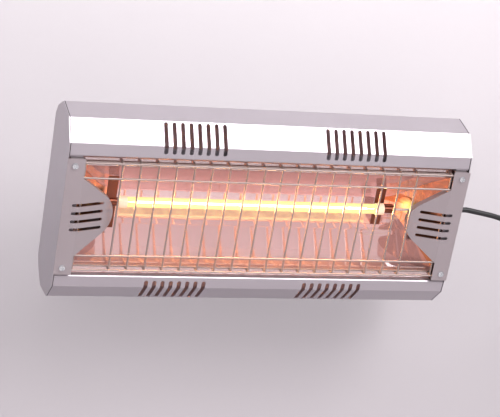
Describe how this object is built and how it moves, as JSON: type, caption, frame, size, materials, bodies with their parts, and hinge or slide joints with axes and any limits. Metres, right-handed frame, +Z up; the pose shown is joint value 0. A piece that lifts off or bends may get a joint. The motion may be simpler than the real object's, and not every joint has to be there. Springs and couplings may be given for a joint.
{
  "type": "electric bar heater",
  "caption": "Wall-mounted electric bar heater with one glowing quartz lamp in a mirror trough, wire guard, faceted steel case and a tilting wall bracket.",
  "frame": {"origin": "centre of the wall plate's four screw holes, on the plate's back face where it meets the wall", "axes": "+Y into the wall, +Z up, +X to the right as seen from the room; the case faces -Y and is turned 30 degrees down"},
  "size_m": [0.6634, 0.1924, 0.3184],
  "materials": {
    "case_paint": "silver-grey powder coat, satin",
    "plate_steel": "silver-grey coat, slightly warmer",
    "mirror_finish": "polished, mirror bright",
    "bright_wire": "bright plated wire",
    "zinc_steel": "zinc plated",
    "quartz": "clear quartz",
    "glowing_filament": "glowing",
    "ceramic": "unglazed",
    "heat_tinted_steel": "heat tinted",
    "lead_sleeve": "glass-fibre sleeve",
    "terminal_ceramic": "unglazed",
    "brass": "plain",
    "core_insulation": "insulated cores",
    "black_pvc": "satin black",
    "knob_plastic": "moulded black",
    "friction_fibre": "fibre",
    "tie_nylon": "nylon",
    "plug_brass": "nickel plated"
  },
  "bodies": {
    "bracket": {"wall_bracket": "zinc_steel"},
    "heater": {"top_shell": "case_paint", "bottom_shell": "case_paint", "back_panel": "case_paint", "end_cap_left": "case_paint", "end_cap_right": "case_paint", "front_plate_left": "plate_steel", "front_plate_right": "plate_steel", "plate_screws": "bright_wire", "wire_guard": "bright_wire", "reflector": "mirror_finish", "reflector_end_left": "mirror_finish", "reflector_end_right": "mirror_finish", "reflector_rivets": "zinc_steel", "quartz_tube": "quartz", "filament": "glowing_filament", "lamp_cap_left": "ceramic", "lamp_cap_right": "ceramic", "lamp_holder_left": "heat_tinted_steel", "lamp_holder_right": "heat_tinted_steel", "lamp_lead_left": "lead_sleeve", "lamp_lead_right": "lead_sleeve", "terminal_block": "terminal_ceramic", "terminal_screws": "brass", "supply_cores": "core_insulation", "earth_lead": "core_insulation", "earth_screw": "zinc_steel", "back_screws": "zinc_steel", "yoke": "zinc_steel", "yoke_screws": "zinc_steel", "friction_washers": "friction_fibre", "pivot_bolts": "zinc_steel", "knob_washers": "zinc_steel", "strain_relief": "black_pvc", "gland_nut": "knob_plastic", "inner_cord": "black_pvc", "cord_lead": "black_pvc", "cord_coil": "black_pvc", "cord_tail": "black_pvc", "cord_tie": "tie_nylon", "plug_body": "black_pvc", "plug_pins": "plug_brass"},
    "knob_left": {"tilt_knob_left": "knob_plastic"},
    "knob_right": {"tilt_knob_right": "knob_plastic"}
  },
  "joints": [
    {"name": "tilt", "type": "hinge", "parent": "bracket", "child": "heater", "pos_m": [0, -0.062, 0], "axis": [1, 0, 0], "range_deg": [-30, 15]},
    {"name": "knob_left_turn", "type": "hinge", "parent": "heater", "child": "knob_left", "pos_m": [-0.065, -0.062, 0], "axis": [1, 0, 0], "range_deg": [0, 360]},
    {"name": "knob_right_turn", "type": "hinge", "parent": "heater", "child": "knob_right", "pos_m": [0.065, -0.062, 0], "axis": [1, 0, 0], "range_deg": [0, 360]}
  ]
}
